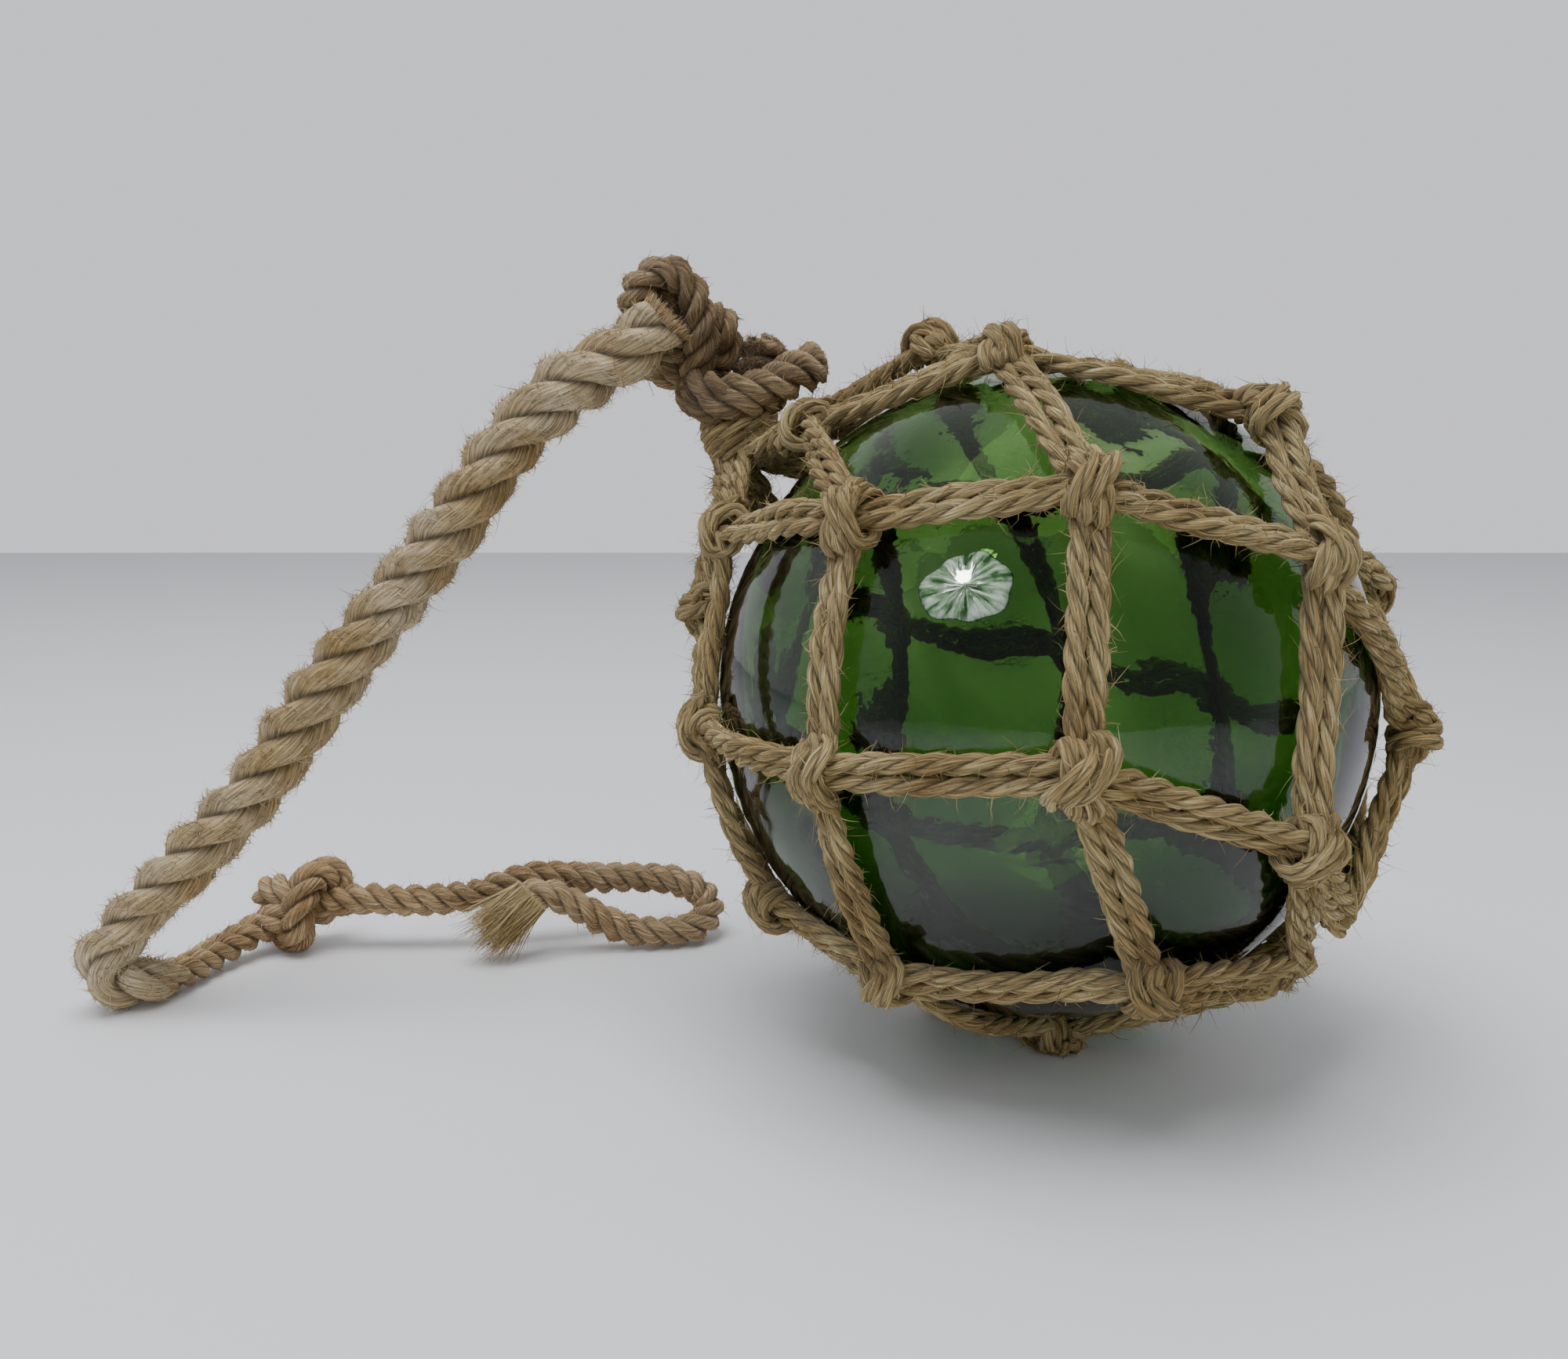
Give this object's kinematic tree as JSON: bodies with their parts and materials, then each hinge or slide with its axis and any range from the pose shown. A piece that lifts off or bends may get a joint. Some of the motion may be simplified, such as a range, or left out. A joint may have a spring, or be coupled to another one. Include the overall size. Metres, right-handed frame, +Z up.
{
  "type": "glass float ball in a rope net",
  "caption": "Hollow blown glass fishing float in a knotted rope net, with a thick rope lanyard that ends in a knotted tail with an eye.",
  "frame": {"origin": "on the resting surface, under the middle of the float (ball, net and becket) seen from above", "axes": "+Z up. The lanyard lies towards -X. -Y is the side with the glass seal"},
  "size_m": [0.4312, 0.2292, 0.249],
  "materials": {
    "green_glass": "clear green blown glass, smooth and wavy, with a wrinkled seal button",
    "jute_twine": "dry hairy laid jute cord, grey-brown",
    "manila_rope": "dry hairy three-strand laid rope, straw brown"
  },
  "bodies": {
    "root": {"glass_ball": "green_glass", "rope_net": "jute_twine", "becket_rope": "manila_rope", "lanyard_rope": "manila_rope", "tail_rope": "manila_rope", "tail_knot": "manila_rope", "tail_span": "manila_rope", "tail_eye": "manila_rope"}
  },
  "joints": []
}
